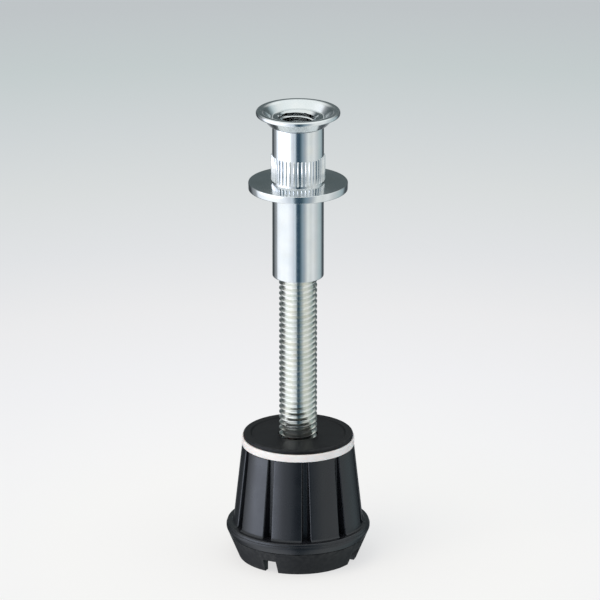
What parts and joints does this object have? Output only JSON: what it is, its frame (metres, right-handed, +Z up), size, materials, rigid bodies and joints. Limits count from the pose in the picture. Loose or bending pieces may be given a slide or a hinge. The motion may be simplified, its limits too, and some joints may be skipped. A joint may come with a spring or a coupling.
{
  "type": "furniture leveling foot",
  "caption": "Leveling foot for a furniture base panel: a threaded steel spindle turns in a flanged steel insert and carries a fluted black grip above a glide that stays still on the floor.",
  "frame": {"origin": "on the spindle's axis, on the floor face of the glide", "axes": "+Z up along the spindle, towards the furniture panel; -Y is the front"},
  "size_m": [0.038, 0.038, 0.1232],
  "materials": {
    "zinc_plated_steel": "bright zinc plating, bluish, satin along the thread",
    "bright_steel": "pressed sheet steel, bright zinc plating",
    "plain_steel": "plain steel, lightly oiled",
    "black_plastic": "moulded black plastic, semi-matte",
    "cap_plastic": "moulded black plastic, fine matte grain",
    "sole_plastic": "moulded black polyethylene, waxy",
    "white_nylon": "natural nylon, off-white with a faint pink"
  },
  "bodies": {
    "insert": {"insert_sleeve": "zinc_plated_steel", "insert_cup": "bright_steel"},
    "glide": {"glide": "sole_plastic", "thrust_washer": "plain_steel"},
    "spindle": {"spindle": "zinc_plated_steel", "retaining_clip": "plain_steel", "grip_body": "black_plastic", "guide_ring": "white_nylon", "top_cap": "cap_plastic"}
  },
  "joints": [
    {"name": "height_adjustment", "type": "slide", "parent": "insert", "child": "glide", "axis": [0, 0, 1], "range_m": [0, 0.03]},
    {"name": "spindle_turn", "type": "hinge", "parent": "glide", "child": "spindle", "pos_m": [0, 0, 0.009], "axis": [0, 0, 1], "range_deg": [0, 7200]}
  ],
  "couplings": [
    {"joint": "spindle_turn", "follows": "height_adjustment", "rad_per_m": 4188.8}
  ]
}
